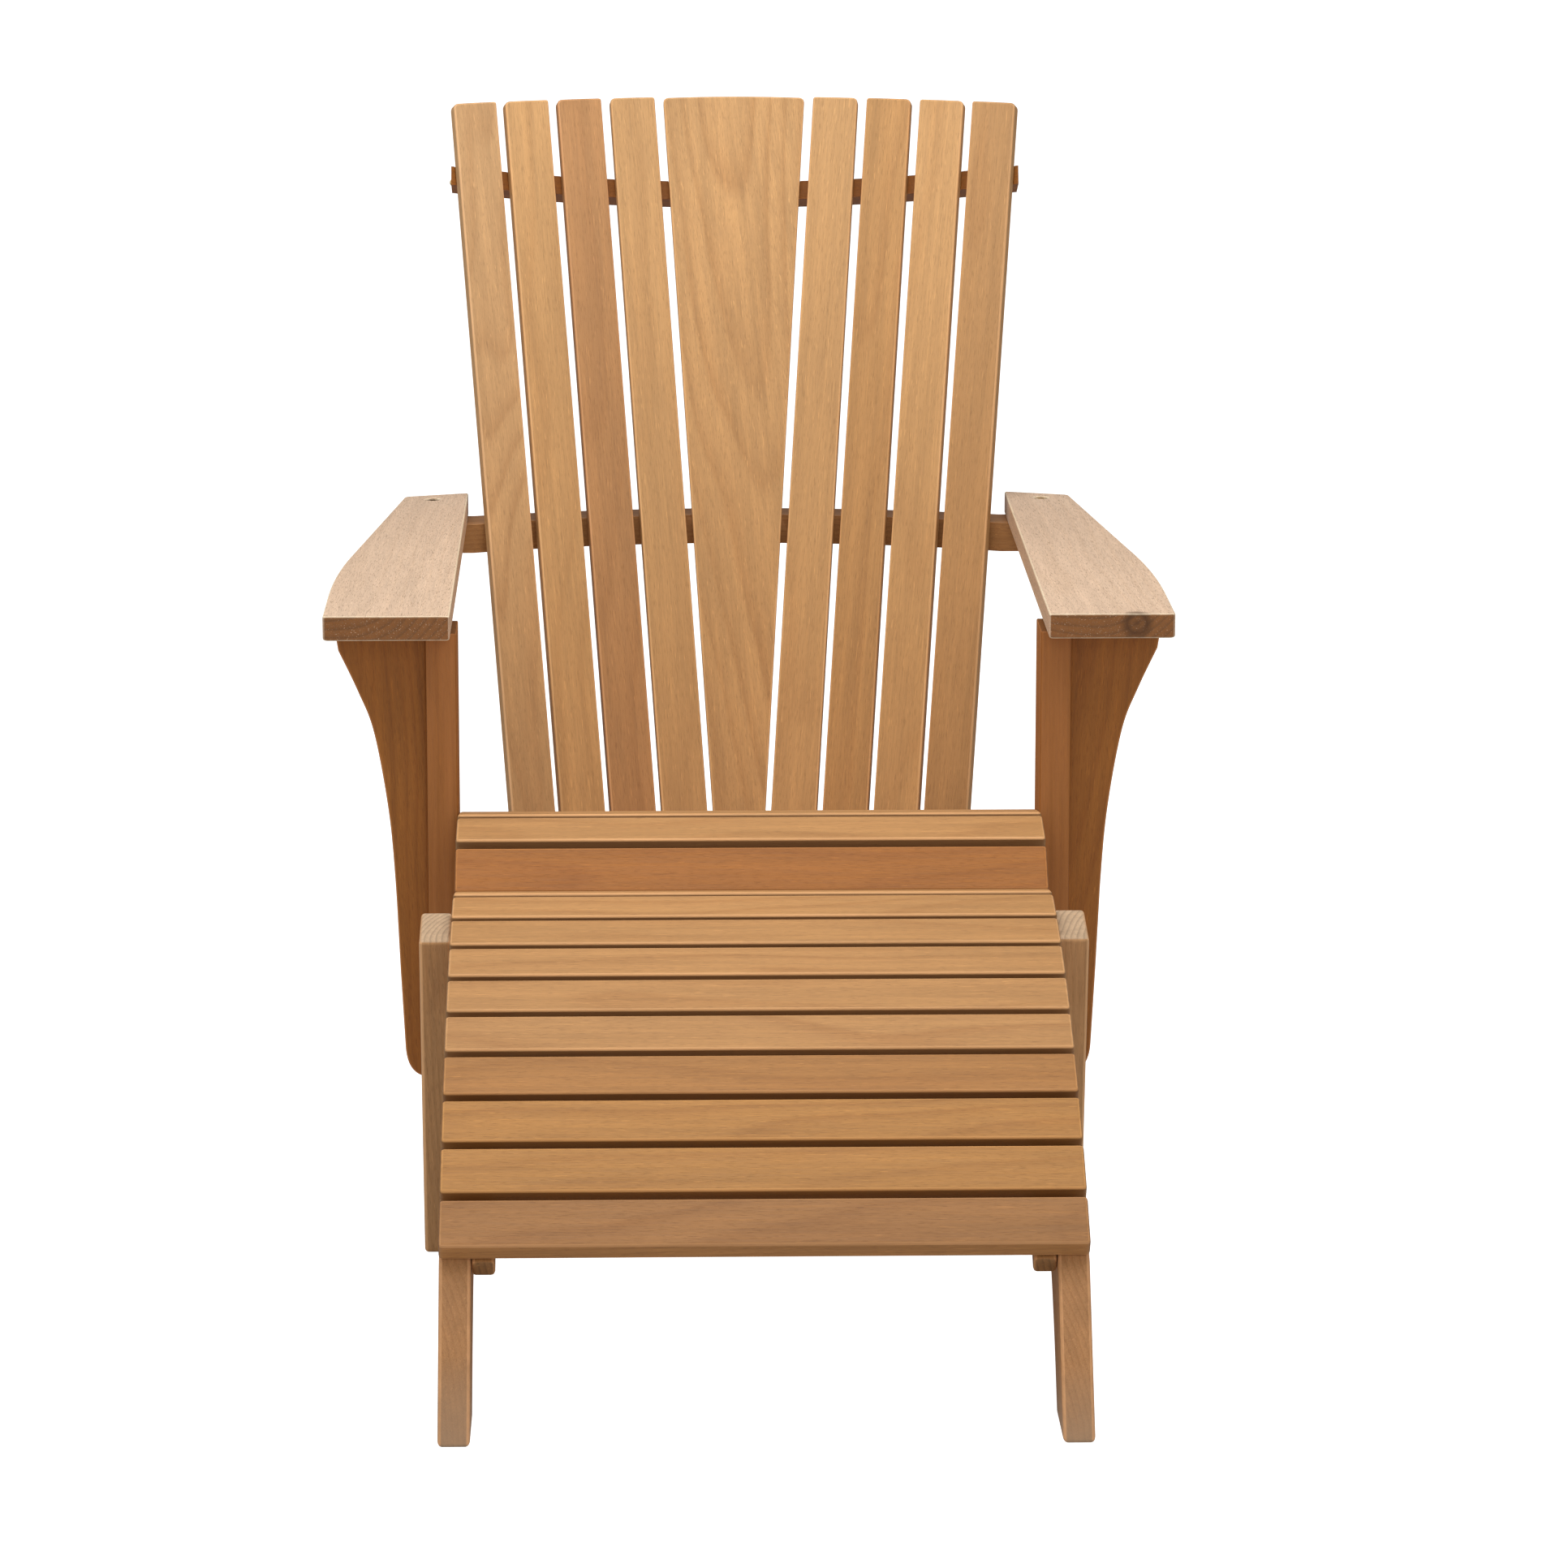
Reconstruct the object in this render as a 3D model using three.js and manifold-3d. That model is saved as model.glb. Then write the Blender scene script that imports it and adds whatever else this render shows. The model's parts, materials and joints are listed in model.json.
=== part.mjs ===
// Garden chair of the Adirondack kind with its matching leg rest, in oiled teak.
// Millimetres, +Z up, the sitter faces -Y. Left and right are as seen from the front: right is +X.
// Every board is its own mesh. Touching boards keep a hair of clearance.

import * as THREE from 'three';
import { mergeVertices } from 'three/addons/utils/BufferGeometryUtils.js';
import Module from 'manifold-3d';

const wasm = await Module();
wasm.setup();

// ---------------------------------------------------------------- driving dimensions

const CLEARANCE = 0.3;              // between two boards that touch
const FRAME_T = 26;                 // thickness of the stringers and the lower rails
const LEG_T = 27.5;                 // thickness of the front legs and the leg rest's posts
const ARM_RAIL_T = 29;
const SLAT_T = 18;                  // thickness of the seat's and the leg rest's slats
const SLAT_W = 48;                  // width of a seat slat
const SLAT_PITCH = 55;              // seat slats, measured on their underside
const SLAT_HALF = 262;              // half the length of a seat slat

const ARM_UNDERSIDE = 519.5;        // height above the floor
const ARM_T = 22.5;
const ARM_FRONT = -36;              // y of the arm's front end; the front leg's face is y = 0
const LEG_DEPTH = 63;

const SEAT_CREST = [-38, 343];      // y, z on the stringer's top edge, at the crest of the seat
const SEAT_FRONT_SLOPES = [12, 40]; // degrees, the two slats that roll over the front, from the crest
const SEAT_FRONT_PITCHES = [52, 49]; // they lie closer together than the others
const SEAT_REAR_SLOPES = [10, 13.5, 15, 15, 15, 15, 15, 15]; // degrees, from the crest to the back

const BACK_RECLINE = THREE.MathUtils.degToRad(23);
const BACK_PIVOT = [621, 519.5];    // y, z of the slats' rear face at the arm rail, on the centre line
const BACK_RADIUS = 680;            // hollow of the back at the arm rail
const BACK_APEX = 3600;             // the hollow opens as a cone with its apex this far below
const BACK_SLAT_W = 45.3;
const BACK_SLAT_T = 14;
const BACK_SLAT_ROUND = 6;          // rounding of the slats' outer top corners
const BACK_TOP = 431;               // crown of the centre slat, along the back from the pivot
const BACK_CROWN_RADIUS = 1700;
const BACK_BOTTOM = -385;
const SIDE_SLATS = 4;               // narrow slats on each side of the tapered one

const REST_CREST = [-183.2, 305.2]; // y, z on the leg rest's stringer, at its crest
const REST_SLATS = 9;
const REST_SLOPES = [7.6, 35];      // degrees, first and last slat in front of the crest
const REST_STRIP_W = 25;            // narrow slat that falls to the rear of the crest
const REST_STRIP_SLOPE = 10;
const REST_FOOT_FRONT = -720;
const POST_LEAN = THREE.MathUtils.degToRad(10);
const POST_DEPTH = 64;
const POST_HEIGHT = 300;

const CLEAT_W = 19;
const CLEAT_D = 17;

const FRAME_INNER = SLAT_HALF - FRAME_T;              // inner face of both pairs of stringers
const LEG_INNER = SLAT_HALF + CLEARANCE;
const LEG_OUTER = LEG_INNER + LEG_T;
const BOLT_SHANK = 3.2;
const BOLT_HEAD = 6.6;
const FACETS = 14;                                    // steps in each curved outline

// ---------------------------------------------------------------- materials

const wood = (color) => new THREE.MeshStandardMaterial({ color, roughness: 0.62, metalness: 0 });
const brass = () => new THREE.MeshStandardMaterial({ color: 0xb08d57, roughness: 0.38, metalness: 1 });
const steel = () => new THREE.MeshStandardMaterial({ color: 0x8c8880, roughness: 0.42, metalness: 1 });
const SEAT_COLOR = 0xc29358;
const BACK_COLORS = [0xcf9f66, 0xc8965c, 0xb98555, 0xd0a067, 0xcc9a60];
const FRAME_COLOR = 0xa8743f;
const ARM_COLOR = 0xd9b48c;
const REST_COLOR = 0xc79962;

// ---------------------------------------------------------------- helpers

const SIDE_VIEW = new THREE.Matrix4().makeBasis(       // outline drawn in y, z and thickened along x
  new THREE.Vector3(0, 1, 0), new THREE.Vector3(0, 0, 1), new THREE.Vector3(1, 0, 0));
const FRONT_VIEW = new THREE.Matrix4().makeBasis(      // outline drawn in x, z and thickened along -y
  new THREE.Vector3(1, 0, 0), new THREE.Vector3(0, 0, 1), new THREE.Vector3(0, -1, 0));

function outline(points) {
  return new THREE.Shape(points.map(([u, v]) => new THREE.Vector2(u, v)));
}

// Closed outline with each corner rounded by its radius.
function filleted(points, radii) {
  const corners = points.map(([u, v]) => new THREE.Vector2(u, v));
  const shape = new THREE.Shape();
  corners.forEach((corner, i) => {
    const before = corners[(i + corners.length - 1) % corners.length];
    const after = corners[(i + 1) % corners.length];
    const start = before.clone().sub(corner).setLength(radii[i]).add(corner);
    const end = after.clone().sub(corner).setLength(radii[i]).add(corner);
    if (i === 0) shape.moveTo(start.x, start.y);
    else shape.lineTo(start.x, start.y);
    if (radii[i] > 0) shape.quadraticCurveTo(corner.x, corner.y, end.x, end.y);
  });
  shape.closePath();
  return shape;
}

function board(shape, thickness, view = null) {
  const settings = { depth: thickness, bevelEnabled: false, curveSegments: FACETS };
  const geometry = new THREE.ExtrudeGeometry(shape, settings);
  return view ? geometry.applyMatrix4(view) : geometry;
}

function toSolid(geometry) {
  const bare = geometry.clone();
  bare.deleteAttribute('normal');
  bare.deleteAttribute('uv');
  const merged = mergeVertices(bare, 1e-4);
  return new wasm.Manifold(new wasm.Mesh({
    numProp: 3,
    vertProperties: new Float32Array(merged.attributes.position.array),
    triVerts: new Uint32Array(merged.index.array),
  }));
}

function toGeometry(solid) {
  const mesh = solid.getMesh();
  const geometry = new THREE.BufferGeometry();
  geometry.setAttribute('position', new THREE.BufferAttribute(new Float32Array(mesh.vertProperties), 3));
  geometry.setIndex(new THREE.BufferAttribute(new Uint32Array(mesh.triVerts), 1));
  geometry.computeVertexNormals();
  return geometry;
}

function cut(geometry, tools) {
  return toGeometry(tools.reduce((solid, tool) => solid.subtract(toSolid(tool)), toSolid(geometry)));
}

function add(group, name, geometry, material) {
  const mesh = new THREE.Mesh(geometry, material);
  mesh.name = name;
  group.add(mesh);
  return mesh;
}

// Left and right copies of one board: build is called with each side's name and sign of x.
function bothSides(build) {
  [['left', -1], ['right', 1]].forEach(([side, sign]) => build(side, sign));
}

// Points of a slatted top edge, each slope falling away from the start in the direction of sign.
function slatLine([y, z], slopes, sign, pitches = slopes.map(() => SLAT_PITCH)) {
  const points = [[y, z]];
  slopes.forEach((degrees, i) => {
    const slope = THREE.MathUtils.degToRad(degrees);
    const [lastY, lastZ] = points[points.length - 1];
    points.push([lastY + sign * pitches[i] * Math.cos(slope), lastZ - pitches[i] * Math.sin(slope)]);
  });
  return points;
}

// One slat lying on the flat between two points of a top edge.
function addSlat(group, name, from, to, width, color) {
  const along = new THREE.Vector2(to[0] - from[0], to[1] - from[1]);
  const middle = [(from[0] + to[0]) / 2, (from[1] + to[1]) / 2];
  const angle = Math.atan2(along.y, along.x);
  const lift = CLEARANCE + SLAT_T / 2;
  const slat = add(group, name, new THREE.BoxGeometry(2 * SLAT_HALF, width, SLAT_T), wood(color));
  slat.rotation.x = angle;
  slat.position.set(0, middle[0] - lift * Math.sin(angle), middle[1] + lift * Math.cos(angle));
}

// A top edge moved down by a distance square to itself, for the cleat that follows it.
function lowered(points, distance) {
  return points.map(([y, z], i) => {
    const before = points[Math.max(i - 1, 0)];
    const after = points[Math.min(i + 1, points.length - 1)];
    const along = new THREE.Vector2(after[0] - before[0], after[1] - before[1]).normalize();
    return [y + distance * along.y, z - distance * along.x];
  });
}

// Bolt with its nut run on, standing on z = 0 with the head up: grip is the timber between them.
function boltGeometry(grip, headHeight, nutHeight) {
  const profile = [
    [0, headHeight], [BOLT_HEAD * 0.6, headHeight], [BOLT_HEAD, headHeight * 0.35], [BOLT_HEAD, CLEARANCE],
    [BOLT_SHANK, CLEARANCE], [BOLT_SHANK, -grip - CLEARANCE], [BOLT_HEAD, -grip - CLEARANCE],
    [BOLT_HEAD, -grip - nutHeight], [0, -grip - nutHeight],
  ];
  const lathe = new THREE.LatheGeometry(profile.map(([r, h]) => new THREE.Vector2(r, h)).reverse(), 16);
  return lathe.rotateX(Math.PI / 2);
}

function boreGeometry(radius, length) {
  return new THREE.CylinderGeometry(radius, radius, length, 16).rotateX(Math.PI / 2);
}

// ---------------------------------------------------------------- back

// The frame of the back: x across, z up along the slats, y square to them, towards the rear.
const backFrame = new THREE.Matrix4()
  .makeRotationX(-BACK_RECLINE)
  .setPosition(0, BACK_PIVOT[0], BACK_PIVOT[1]);

const hollowRadius = (z) => BACK_RADIUS * (1 + z / BACK_APEX);
const backGap = (z) => 8.2 + 0.0052 * z;               // slats draw apart towards the top
const centreHalfWidth = (z) => 44.9 + 0.0618 * z;      // the centre slat takes up the fan

function backPoint(arc, z) {
  const radius = hollowRadius(z);
  return new THREE.Vector3(radius * Math.sin(arc / radius), radius * (Math.cos(arc / radius) - 1), z);
}

function slatArc(index, z) {
  if (index === 0) return 0;
  const first = centreHalfWidth(z) + backGap(z) + BACK_SLAT_W / 2;
  return Math.sign(index) * (first + (Math.abs(index) - 1) * (BACK_SLAT_W + backGap(z)));
}

// Slat of the back in the back's frame; grow thickens it on its rear and sides, to cut its seating.
function backSlat(index, grow) {
  const bottom = backPoint(slatArc(index, BACK_BOTTOM), BACK_BOTTOM);
  const top = backPoint(slatArc(index, BACK_TOP), BACK_TOP);
  const up = top.clone().sub(bottom).normalize();
  const turn = Math.atan2((bottom.x + top.x) / 2, BACK_RADIUS);
  const across = new THREE.Vector3(Math.cos(turn), -Math.sin(turn), 0);
  across.addScaledVector(up, -across.dot(up)).normalize();
  const forward = across.clone().cross(up);
  const halfWidth = (z) => (index === 0 ? centreHalfWidth(z) : BACK_SLAT_W / 2) + grow;
  const crown = (u) => {
    const x = bottom.x + up.x * (BACK_TOP - BACK_BOTTOM) + u * across.x;
    return ((BACK_TOP - x * x / (2 * BACK_CROWN_RADIUS)) - BACK_BOTTOM - u * across.z) / up.z;
  };
  const low = halfWidth(BACK_BOTTOM);
  const high = halfWidth(BACK_TOP);
  const steps = index === 0 ? 8 : 2;
  const points = [[-low, 0], [low, 0]];
  const radii = [0, 0];
  for (let i = 0; i <= steps; i += 1) {
    const u = high - (2 * high * i) / steps;
    points.push([u, crown(u)]);
    const outer = (i === 0 && index >= 0) || (i === steps && index <= 0);
    radii.push(outer ? BACK_SLAT_ROUND : 0);
  }
  const shape = filleted(points, radii);
  const geometry = board(shape, BACK_SLAT_T + grow);
  geometry.translate(0, 0, CLEARANCE - grow);
  return geometry.applyMatrix4(new THREE.Matrix4().makeBasis(across, up, forward).setPosition(bottom));
}

const slatIndices = [];
for (let i = -SIDE_SLATS; i <= SIDE_SLATS; i += 1) slatIndices.push(i);

// Curved rail behind the slats: two arcs about one axis, ends square at x = +-half.
function curvedRail(z, thickness, depth, half) {
  const radius = hollowRadius(z);
  const front = [];
  const rear = [];
  for (let i = 0; i <= 2 * FACETS; i += 1) {
    const x = half * (i / FACETS - 1);
    front.push([x, Math.sqrt(radius * radius - x * x) - radius]);
    rear.push([-x, Math.sqrt((radius + depth) ** 2 - x * x) - radius]);
  }
  const blank = board(outline([...front, ...rear]), thickness).translate(0, 0, z);
  return cut(blank, slatIndices.map((i) => backSlat(i, CLEARANCE)));
}

function buildBack(group) {
  const back = new THREE.Group();
  back.applyMatrix4(backFrame);
  slatIndices.forEach((index) => {
    const label = index === 0 ? 'centre' : `${index < 0 ? 'left' : 'right'}_${Math.abs(index)}`;
    add(back, `back_slat_${label}`, backSlat(index, 0), wood(BACK_COLORS[Math.abs(index)]));
  });
  add(back, 'upper_back_rail', curvedRail(326, 19, 28, 284), wood(FRAME_COLOR));
  add(back, 'lower_back_rail', curvedRail(-372, FRAME_T, 45, FRAME_INNER - CLEARANCE), wood(FRAME_COLOR));
  group.add(back);
}

// ---------------------------------------------------------------- arm rail, arms, front legs

const ARM_BOLT = [302, 585];
const ARM_RAIL_EAR = 262;           // beyond this the rail runs straight, under the arm
const ARM_RAIL_HALF = 322;
const COUNTERBORE = 3.5;

function armRailGeometry() {
  const [pivotY, pivotZ] = BACK_PIVOT;
  const rearArc = (x) => pivotY + 40 - (x * x * 42) / (ARM_RAIL_EAR * ARM_RAIL_EAR);
  const frontArc = (x) => pivotY + Math.sqrt(BACK_RADIUS ** 2 - x * x) - BACK_RADIUS;
  const front = [[-ARM_RAIL_HALF, frontArc(ARM_RAIL_EAR)]];
  const rear = [[ARM_RAIL_HALF, rearArc(ARM_RAIL_EAR)]];
  for (let i = 0; i <= 2 * FACETS; i += 1) {
    const x = ARM_RAIL_EAR * (i / FACETS - 1);
    front.push([x, frontArc(x)]);
    rear.push([-x, rearArc(x)]);
  }
  front.push([ARM_RAIL_HALF, frontArc(ARM_RAIL_EAR)]);
  rear.push([-ARM_RAIL_HALF, rearArc(ARM_RAIL_EAR)]);
  const blank = board(outline([...front, ...rear]), ARM_RAIL_T - CLEARANCE);
  blank.translate(0, 0, pivotZ - ARM_RAIL_T);
  const seatings = slatIndices.map((i) => backSlat(i, CLEARANCE).applyMatrix4(backFrame));
  const bores = [-1, 1].map((sign) => boreGeometry(BOLT_SHANK + CLEARANCE, 100)
    .translate(sign * ARM_BOLT[0], ARM_BOLT[1], ARM_UNDERSIDE));
  return cut(blank, [...seatings, ...bores]);
}

function armGeometry(sign) {
  const shape = new THREE.Shape();
  shape.moveTo(267, ARM_FRONT + 4);
  shape.quadraticCurveTo(267, ARM_FRONT, 271, ARM_FRONT);
  shape.lineTo(374, ARM_FRONT);
  shape.quadraticCurveTo(380, ARM_FRONT, 380, ARM_FRONT + 6);
  shape.lineTo(380, 60);
  shape.quadraticCurveTo(380, 180, 366, 290);
  shape.lineTo(331, 598);
  shape.quadraticCurveTo(330, 602, 326, 603.5);
  shape.lineTo(268, 623);
  shape.closePath();
  const arm = board(shape, ARM_T).translate(0, 0, ARM_UNDERSIDE);
  const top = ARM_UNDERSIDE + ARM_T;
  const bored = cut(arm, [
    boreGeometry(BOLT_SHANK + CLEARANCE, 100).translate(ARM_BOLT[0], ARM_BOLT[1], ARM_UNDERSIDE),
    boreGeometry(BOLT_HEAD + 0.6, 2 * COUNTERBORE).translate(ARM_BOLT[0], ARM_BOLT[1], top),
  ]);
  return sign > 0 ? bored : mirrored(bored);
}

function mirrored(geometry) {
  const copy = geometry.clone().scale(-1, 1, 1);
  const order = copy.index.array;
  for (let i = 0; i < order.length; i += 3) [order[i], order[i + 1]] = [order[i + 1], order[i]];
  copy.computeVertexNormals();
  return copy;
}

const LEG_BOLTS = [[53, 252], [53, 290]];              // y, z

function sideCylinder(radius, length, x, [y, z]) {
  return new THREE.CylinderGeometry(radius, radius, length, 16).rotateZ(Math.PI / 2).translate(x, y, z);
}

// Bores from side to side, through a leg and the stringer beside it.
function sideBores(places) {
  return places.map((place) => sideCylinder(BOLT_SHANK + CLEARANCE, 800, 0, place));
}

// The bolts' heads lie below the surface, in counterbores on the outer sides.
function sideCounterbores(places, sign) {
  const radius = BOLT_HEAD + 2 * CLEARANCE;
  return places.map((place) => sideCylinder(radius, 2 * COUNTERBORE, sign * LEG_OUTER, place));
}

function addSideBolt(group, name, sign, [y, z]) {
  const bolt = add(group, name, boltGeometry(FRAME_T + LEG_T + CLEARANCE - COUNTERBORE, 2.4, 6), steel());
  bolt.rotation.y = sign * Math.PI / 2;
  bolt.position.set(sign * (LEG_OUTER - COUNTERBORE), y, z);
}

function bracketGeometry() {
  const inner = LEG_OUTER + CLEARANCE;
  const top = ARM_UNDERSIDE - CLEARANCE;
  const shape = new THREE.Shape();
  shape.moveTo(inner, top);
  shape.lineTo(inner, 103);
  shape.quadraticCurveTo(311, 103, 313, 130);
  shape.splineThru([[316.5, 200], [320.5, 290], [326, 355], [338, 425], [352, 463], [369, 500]]
    .map(([x, z]) => new THREE.Vector2(x, z)));
  shape.lineTo(372, top);
  shape.closePath();
  return board(shape, 25, FRONT_VIEW).translate(0, 44, 0);
}

function buildArmsAndLegs(group) {
  add(group, 'arm_rail', armRailGeometry(), wood(FRAME_COLOR));
  bothSides((side, sign) => {
    add(group, `arm_${side}`, armGeometry(sign), wood(ARM_COLOR));

    const legHeight = ARM_UNDERSIDE - CLEARANCE;
    const leg = new THREE.BoxGeometry(LEG_T, LEG_DEPTH, legHeight)
      .translate(sign * (LEG_INNER + LEG_T / 2), LEG_DEPTH / 2, legHeight / 2);
    const legCuts = [...sideBores(LEG_BOLTS), ...sideCounterbores(LEG_BOLTS, sign)];
    add(group, `front_leg_${side}`, cut(leg, legCuts), wood(FRAME_COLOR));

    const bracket = toGeometry(toSolid(bracketGeometry()));
    add(group, `arm_bracket_${side}`, sign > 0 ? bracket : mirrored(bracket), wood(FRAME_COLOR));

    const bolt = boltGeometry(ARM_T - COUNTERBORE + ARM_RAIL_T, 2.4, 5);
    const boltSeat = ARM_UNDERSIDE + ARM_T - COUNTERBORE;
    add(group, `arm_bolt_${side}`, bolt, brass()).position.set(sign * ARM_BOLT[0], ARM_BOLT[1], boltSeat);

    LEG_BOLTS.forEach((place, i) => addSideBolt(group, `leg_bolt_${side}_${i + 1}`, sign, place));
  });
}

// ---------------------------------------------------------------- seat

const seatFront = slatLine(SEAT_CREST, SEAT_FRONT_SLOPES, -1, SEAT_FRONT_PITCHES);
const seatRear = slatLine(SEAT_CREST, SEAT_REAR_SLOPES, 1);
const seatLine = [...seatFront.slice(1).reverse(), ...seatRear];
const seatEnd = seatLine[seatLine.length - 1];
const SEAT_FALL = THREE.MathUtils.degToRad(SEAT_REAR_SLOPES[SEAT_REAR_SLOPES.length - 1]);

function stringerGeometry() {
  const shape = outline(seatLine);
  shape.lineTo(seatEnd[0] + 90 * Math.cos(SEAT_FALL), seatEnd[1] - 90 * Math.sin(SEAT_FALL));
  shape.splineThru([[585, 178], [690, 120], [762, 62]].map(([y, z]) => new THREE.Vector2(y, z)));
  shape.quadraticCurveTo(786, 40, 778, 0);
  shape.lineTo(690, 0);
  shape.splineThru([[560, 76], [400, 138], [220, 190], [60, 228], [-40, 246]]
    .map(([y, z]) => new THREE.Vector2(y, z)));
  shape.quadraticCurveTo(-104, 250, seatLine[0][0], seatLine[0][1]);
  return board(shape, FRAME_T, SIDE_VIEW);
}

function cleatGeometry(points) {
  const underside = lowered(points, CLEAT_D).reverse();
  return board(outline([...points, ...underside]), CLEAT_W, SIDE_VIEW);
}

// Last board of the seat, its rear edge shaped to the hollow of the back.
function addRearSeatBoard(group) {
  const front = SLAT_PITCH - SLAT_W;
  const shape = new THREE.Shape();
  shape.moveTo(-226, front / 2);
  shape.lineTo(226, front / 2);
  shape.lineTo(226, 38);
  shape.quadraticCurveTo(0, 126, -226, 38);
  shape.closePath();
  const piece = add(group, 'seat_board_rear', board(shape, SLAT_T), wood(SEAT_COLOR));
  piece.rotation.x = -SEAT_FALL;
  piece.position.set(0, seatEnd[0] + CLEARANCE * Math.sin(SEAT_FALL), seatEnd[1] + CLEARANCE);
}

function buildSeat(group) {
  for (let i = 0; i + 1 < seatLine.length; i += 1) {
    const name = `seat_slat_${String(i + 1).padStart(2, '0')}`;
    addSlat(group, name, seatLine[i], seatLine[i + 1], SLAT_W, SEAT_COLOR);
  }
  addRearSeatBoard(group);
  bothSides((side, sign) => {
    const x = sign > 0 ? FRAME_INNER : -SLAT_HALF;
    const stringer = stringerGeometry().translate(x, 0, 0);
    add(group, `stringer_${side}`, cut(stringer, sideBores(LEG_BOLTS)), wood(FRAME_COLOR));
    const cleatX = sign > 0 ? FRAME_INNER - CLEARANCE - CLEAT_W : -FRAME_INNER + CLEARANCE;
    const cleat = cleatGeometry(seatLine);
    add(group, `seat_cleat_${side}`, cleat, wood(FRAME_COLOR)).position.x = cleatX;
  });
  const rail = new THREE.BoxGeometry(2 * (FRAME_INNER - CLEARANCE), FRAME_T, 58);
  add(group, 'front_cross_rail', rail, wood(FRAME_COLOR)).position.set(0, 82, 258);
}

// ---------------------------------------------------------------- leg rest

const restSlopes = [];
for (let i = 0; i < REST_SLATS; i += 1) {
  restSlopes.push(THREE.MathUtils.lerp(REST_SLOPES[0], REST_SLOPES[1], i / (REST_SLATS - 1)));
}
const restLine = slatLine(REST_CREST, restSlopes, -1);
const restEnd = restLine[restLine.length - 1];
const stripFall = THREE.MathUtils.degToRad(REST_STRIP_SLOPE);
const STRIP_RUN = REST_STRIP_W + SLAT_PITCH - SLAT_W;
const stripEnd = [
  REST_CREST[0] + STRIP_RUN * Math.cos(stripFall),
  REST_CREST[1] - STRIP_RUN * Math.sin(stripFall),
];
const POST_BOLT = [-213, 262];

function restStringerGeometry() {
  const shape = new THREE.Shape();
  shape.moveTo(...stripEnd);
  restLine.forEach((point) => shape.lineTo(...point));
  shape.lineTo(REST_FOOT_FRONT, 0);
  shape.lineTo(REST_FOOT_FRONT + 74, 0);
  shape.splineThru([[-598, 62], [-540, 112], [-440, 166], [-330, 204], [-220, 228]]
    .map(([y, z]) => new THREE.Vector2(y, z)));
  shape.lineTo(stripEnd[0], 236);
  shape.closePath();
  return board(shape, FRAME_T, SIDE_VIEW);
}

function postGeometry() {
  const shape = outline([[0, 0], [POST_DEPTH / Math.cos(POST_LEAN), 0]]);
  const along = new THREE.Vector2(-Math.sin(POST_LEAN), Math.cos(POST_LEAN));
  const across = new THREE.Vector2(along.y, -along.x);
  const front = along.clone().multiplyScalar(POST_HEIGHT);
  const rear = front.clone().addScaledVector(across, POST_DEPTH);
  shape.lineTo(rear.x, rear.y);
  shape.lineTo(front.x, front.y);
  shape.closePath();
  return board(shape, LEG_T, SIDE_VIEW).translate(0, -191, 0);
}

function buildLegRest(group) {
  addSlat(group, 'rest_strip_rear', REST_CREST, stripEnd, REST_STRIP_W, REST_COLOR);
  for (let i = 0; i < REST_SLATS; i += 1) {
    addSlat(group, `rest_slat_${i + 1}`, restLine[i + 1], restLine[i], SLAT_W, REST_COLOR);
  }
  bothSides((side, sign) => {
    const x = sign > 0 ? FRAME_INNER : -SLAT_HALF;
    const stringer = restStringerGeometry().translate(x, 0, 0);
    add(group, `rest_stringer_${side}`, cut(stringer, sideBores([POST_BOLT])), wood(FRAME_COLOR));

    const postX = sign > 0 ? LEG_INNER : -LEG_OUTER;
    const post = postGeometry().translate(postX, 0, 0);
    const postCuts = [...sideBores([POST_BOLT]), ...sideCounterbores([POST_BOLT], sign)];
    add(group, `rest_post_${side}`, cut(post, postCuts), wood(FRAME_COLOR));

    const cleatX = sign > 0 ? FRAME_INNER - CLEARANCE - CLEAT_W : -FRAME_INNER + CLEARANCE;
    const cleat = cleatGeometry([...restLine].reverse());
    add(group, `rest_cleat_${side}`, cleat, wood(FRAME_COLOR)).position.x = cleatX;
    addSideBolt(group, `post_bolt_${side}`, sign, POST_BOLT);
  });
  const rail = new THREE.BoxGeometry(2 * (FRAME_INNER - CLEARANCE), FRAME_T, 36);
  add(group, 'rest_cross_rail', rail, wood(FRAME_COLOR)).position.set(0, -245, 243);
}

// ---------------------------------------------------------------- assembly

const chair = new THREE.Group();
buildBack(chair);
buildArmsAndLegs(chair);
buildSeat(chair);

const legRest = new THREE.Group();
buildLegRest(legRest);

// The origin is the middle of the footprint, on the floor.
const whole = new THREE.Group();
whole.add(chair, legRest);
const extent = new THREE.Box3().setFromObject(whole, true);
whole.position.y = -(extent.min.y + extent.max.y) / 2;

export default whole;
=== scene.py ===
# Teak garden chair with its leg rest: wood for every board, eased edges, fastenings and a plain studio.
# Everything is in metres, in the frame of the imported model.

import json
import math

import bpy
from mathutils import Matrix, Vector


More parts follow.
